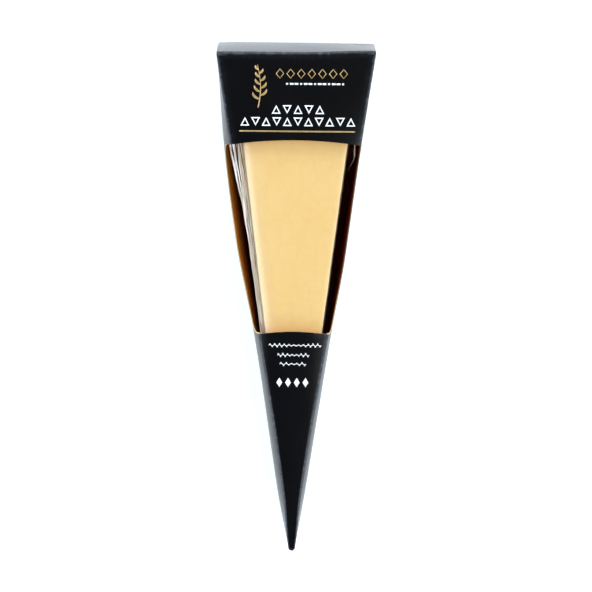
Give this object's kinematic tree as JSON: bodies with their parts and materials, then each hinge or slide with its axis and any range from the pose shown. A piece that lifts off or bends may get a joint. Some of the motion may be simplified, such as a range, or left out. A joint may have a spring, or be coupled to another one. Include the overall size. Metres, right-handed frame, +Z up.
{
  "type": "packed cheese wedge",
  "caption": "Wedge of pale yellow cheese sealed in clear film and held in a tapered black carton sleeve with an open window across its front and sides.",
  "frame": {"origin": "middle of the pack's length and width, on the underside of the back panel that it lies on", "axes": "+Y along the wedge towards its wide end, -Y towards its tip, +Z up through the windowed front panel"},
  "size_m": [0.0632, 0.2, 0.042],
  "materials": {
    "carton_board": "satin",
    "clear_film": "gloss",
    "cheese": "satin"
  },
  "bodies": {
    "root": {"carton": "carton_board", "film_upper_web": "clear_film", "film_lower_web": "clear_film", "cheese_wedge": "cheese"}
  },
  "joints": []
}
